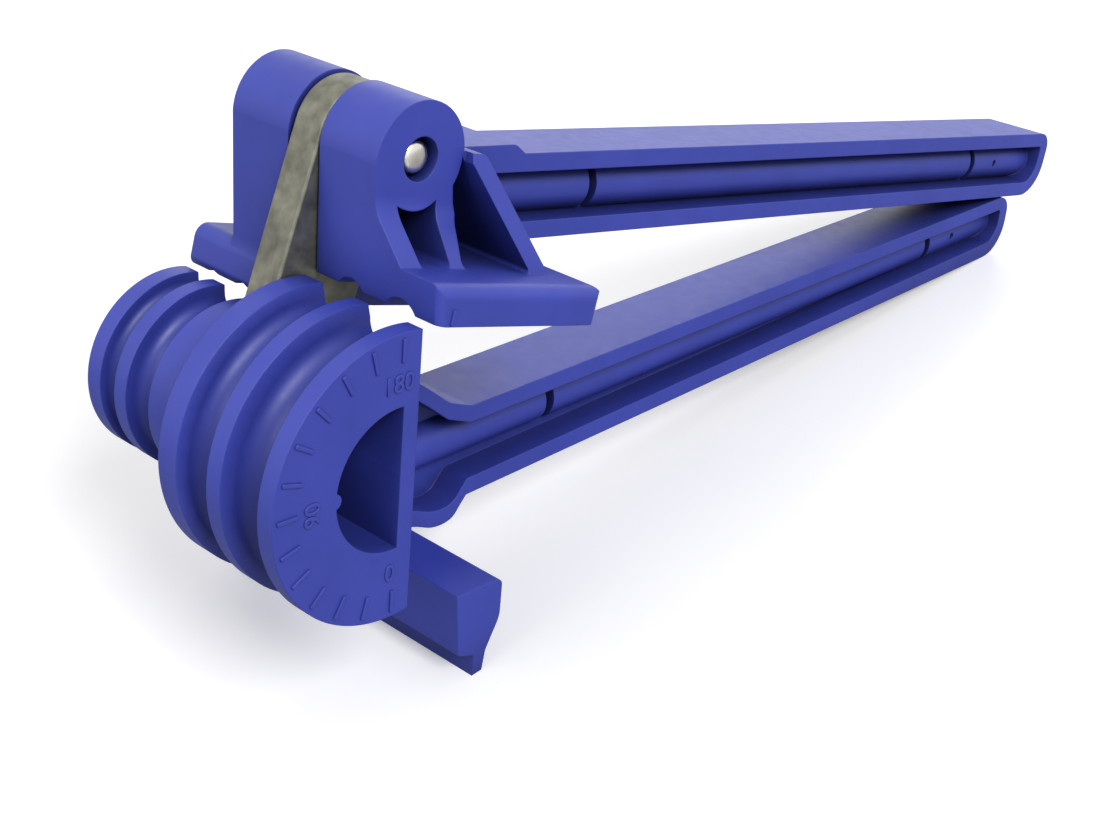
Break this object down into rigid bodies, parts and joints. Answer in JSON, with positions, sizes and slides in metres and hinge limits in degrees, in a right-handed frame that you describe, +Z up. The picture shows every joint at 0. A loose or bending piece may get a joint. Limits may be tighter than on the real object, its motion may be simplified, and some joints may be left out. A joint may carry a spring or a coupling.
{
  "type": "tube bender",
  "caption": "Hand tube bender with half-round grooved formers, a dial face, a swinging link with a grooved shoe and two I-beam handles, lying closed.",
  "frame": {"origin": "on the floor under the middle of the whole tool's box at rest", "axes": "+X toward the handles' ends, +Y from the dial face along the formers' axis, +Z up"},
  "size_m": [0.3224, 0.0756, 0.1199],
  "materials": {
    "blue_plastic": "semi-gloss moulded blue nylon",
    "link_steel": "dull grey steel",
    "pin_steel": "bright steel"
  },
  "bodies": {
    "root": {"large_former": "blue_plastic", "small_former": "blue_plastic", "catch_bar": "blue_plastic", "lower_handle": "blue_plastic", "lower_core_rod": "pin_steel", "lower_pivot_pin": "pin_steel", "lower_pin_ring": "pin_steel"},
    "link": {"link_plate": "link_steel"},
    "upper_arm": {"shoe": "blue_plastic", "upper_handle": "blue_plastic", "upper_core_rod": "pin_steel", "upper_pivot_pin": "pin_steel", "upper_pin_ring": "pin_steel"}
  },
  "joints": [
    {"name": "link_swing", "type": "hinge", "parent": "root", "child": "link", "pos_m": [-0.13122, 0.00213, 0.05688], "axis": [0, 1, 0], "range_deg": [-198.9, 0]},
    {"name": "shoe_swing", "type": "hinge", "parent": "link", "child": "upper_arm", "pos_m": [-0.10504, 0.00213, 0.10852], "axis": [0, 1, 0], "range_deg": [-100, 0]}
  ]
}
